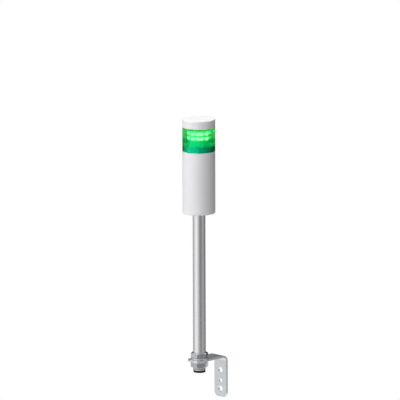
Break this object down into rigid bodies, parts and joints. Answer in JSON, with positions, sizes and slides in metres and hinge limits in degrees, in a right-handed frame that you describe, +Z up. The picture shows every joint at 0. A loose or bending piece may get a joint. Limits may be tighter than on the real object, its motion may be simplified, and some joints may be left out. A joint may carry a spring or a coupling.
{
  "type": "stack light",
  "caption": "Slim pole-mounted LED signal light with a green clear lens, off-white body and cap, and an L-shaped wall bracket clamped by hexagon nuts.",
  "frame": {"origin": "middle of the two wall bolts, on the bracket's wall face", "axes": "+Z up along the pole, +Y out of the wall face towards the wall, +X to the right when facing the wall"},
  "size_m": [0.04, 0.0586, 0.3519],
  "materials": {
    "off_white_plastic": "satin moulded ABS",
    "green_lens": "clear green polycarbonate, polished outside",
    "anodised_aluminium": "drawn tube, clear anodised",
    "zinc_plate": "zinc plated steel",
    "black_rubber": "matte black",
    "cast_alloy": "as cast",
    "screw_steel": "plated steel",
    "circuit_board": "solder-masked board",
    "black_plastic": "moulded",
    "terminal_plastic": "moulded",
    "capacitor_can": "sleeved can",
    "contact_brass": "plated contact metal",
    "white_plastic": "moulded",
    "seal_rubber": "matte black",
    "strip_white": "white solder mask",
    "led_resin": "lit resin window"
  },
  "bodies": {
    "bracket": {"wall_bracket": "zinc_plate"},
    "mast": {"upper_washer": "zinc_plate", "lock_washer": "zinc_plate", "upper_nut": "zinc_plate", "lower_nut": "zinc_plate", "pole_tube": "anodised_aluminium", "cable_bush": "black_rubber", "pole_socket": "cast_alloy", "socket_screws": "screw_steel", "grub_screw": "screw_steel", "body_housing": "off_white_plastic", "control_board": "circuit_board", "board_chips": "black_plastic", "terminal_block": "terminal_plastic", "capacitor": "capacitor_can", "contact_block": "black_plastic", "spring_contacts": "contact_brass"},
    "led_unit": {"unit_base": "white_plastic", "unit_seal": "seal_rubber", "contact_disc": "circuit_board", "contact_rings": "contact_brass", "led_post": "white_plastic", "led_strips": "strip_white", "led_chips": "led_resin", "lens_globe": "green_lens", "cap_seal": "seal_rubber"},
    "cap": {"top_cap": "off_white_plastic"}
  },
  "joints": [
    {"name": "mast_turn", "type": "hinge", "parent": "bracket", "child": "mast", "pos_m": [0, -0.0386, 0.03165], "axis": [0, 0, 1], "continuous": true},
    {"name": "led_unit_twist", "type": "hinge", "parent": "mast", "child": "led_unit", "pos_m": [0, -0.0386, 0.29075], "axis": [0, 0, 1], "range_deg": [0, 35]},
    {"name": "cap_twist", "type": "hinge", "parent": "led_unit", "child": "cap", "pos_m": [0, -0.0386, 0.3201], "axis": [0, 0, 1], "range_deg": [0, 35]}
  ]
}
